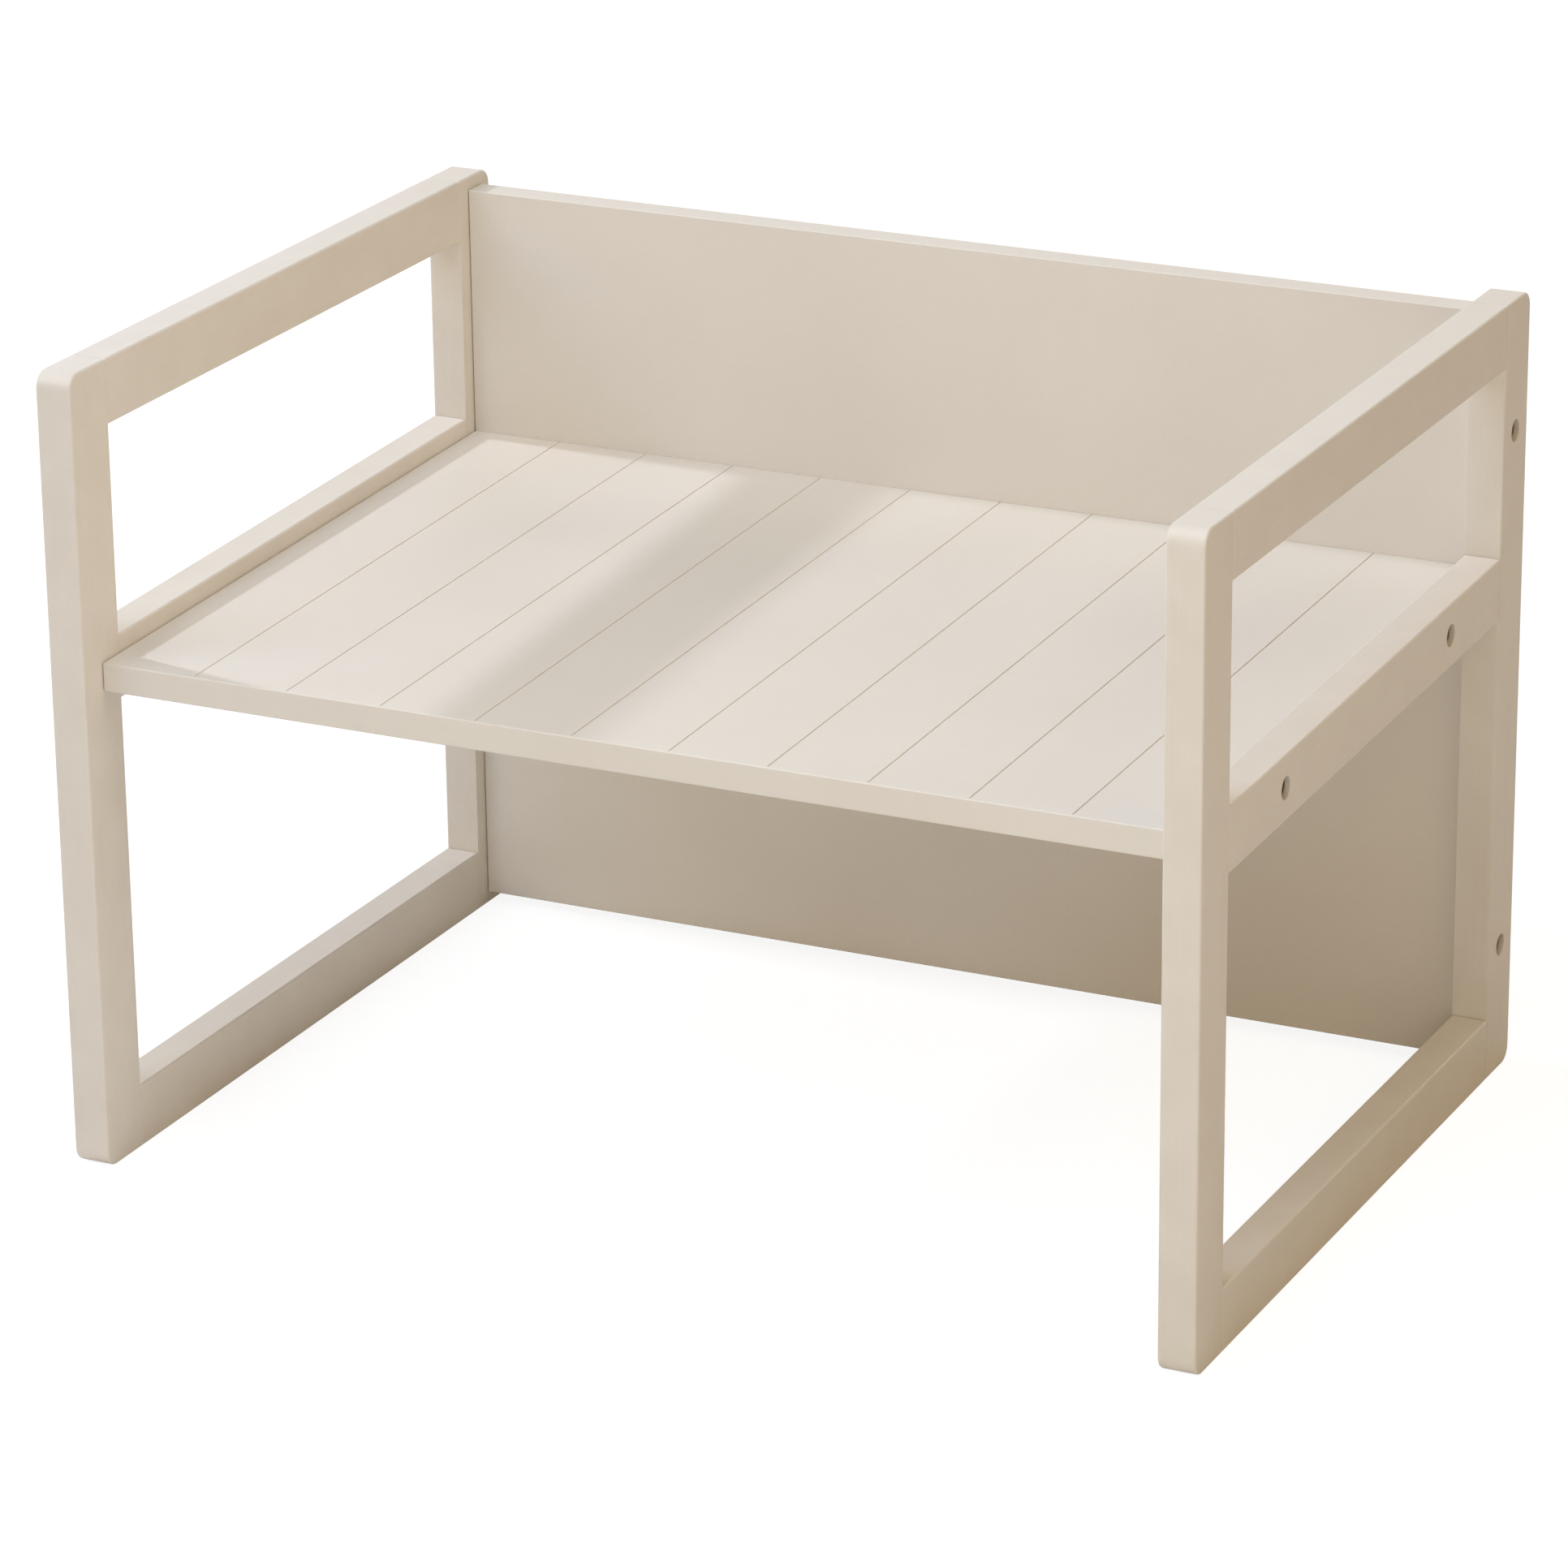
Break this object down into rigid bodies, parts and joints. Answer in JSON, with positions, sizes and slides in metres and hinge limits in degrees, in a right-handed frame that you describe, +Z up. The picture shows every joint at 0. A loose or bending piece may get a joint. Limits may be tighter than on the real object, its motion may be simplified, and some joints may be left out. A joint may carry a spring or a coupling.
{
  "type": "monks bench",
  "caption": "Child's reversible bench: flat side frames of posts and rails carry a grooved seat board and a plain back panel; turned over, the seat is low.",
  "frame": {"origin": "on the floor, in the middle of the bench's outline", "axes": "+X to the right as seen from the front, +Y to the back, +Z up"},
  "size_m": [0.66, 0.462, 0.45],
  "materials": {
    "bar_lacquer": "beech bars under an opaque greige satin lacquer",
    "board_lacquer": "fibreboard under an opaque greige satin lacquer",
    "screw_steel": "bright zinc-plated steel",
    "dowel_beech": "raw beech"
  },
  "bodies": {
    "root": {"seat_board": "board_lacquer", "back_panel": "board_lacquer", "left_front_post": "bar_lacquer", "left_rear_post": "bar_lacquer", "left_top_rail": "bar_lacquer", "left_middle_rail": "bar_lacquer", "left_bottom_rail": "bar_lacquer", "right_front_post": "bar_lacquer", "right_rear_post": "bar_lacquer", "right_top_rail": "bar_lacquer", "right_middle_rail": "bar_lacquer", "right_bottom_rail": "bar_lacquer", "left_middle_rail_front_screw": "screw_steel", "left_middle_rail_rear_screw": "screw_steel", "left_rear_post_lower_screw": "screw_steel", "left_rear_post_upper_screw": "screw_steel", "right_middle_rail_front_screw": "screw_steel", "right_middle_rail_rear_screw": "screw_steel", "right_rear_post_lower_screw": "screw_steel", "right_rear_post_upper_screw": "screw_steel", "left_bottom_rail_front_lower_dowel": "dowel_beech", "left_bottom_rail_front_upper_dowel": "dowel_beech", "left_bottom_rail_rear_lower_dowel": "dowel_beech", "left_bottom_rail_rear_upper_dowel": "dowel_beech", "left_middle_rail_front_lower_dowel": "dowel_beech", "left_middle_rail_front_upper_dowel": "dowel_beech", "left_middle_rail_rear_lower_dowel": "dowel_beech", "left_middle_rail_rear_upper_dowel": "dowel_beech", "left_top_rail_front_lower_dowel": "dowel_beech", "left_top_rail_front_upper_dowel": "dowel_beech", "left_top_rail_rear_lower_dowel": "dowel_beech", "left_top_rail_rear_upper_dowel": "dowel_beech", "right_bottom_rail_front_lower_dowel": "dowel_beech", "right_bottom_rail_front_upper_dowel": "dowel_beech", "right_bottom_rail_rear_lower_dowel": "dowel_beech", "right_bottom_rail_rear_upper_dowel": "dowel_beech", "right_middle_rail_front_lower_dowel": "dowel_beech", "right_middle_rail_front_upper_dowel": "dowel_beech", "right_middle_rail_rear_lower_dowel": "dowel_beech", "right_middle_rail_rear_upper_dowel": "dowel_beech", "right_top_rail_front_lower_dowel": "dowel_beech", "right_top_rail_front_upper_dowel": "dowel_beech", "right_top_rail_rear_lower_dowel": "dowel_beech", "right_top_rail_rear_upper_dowel": "dowel_beech"}
  },
  "joints": []
}
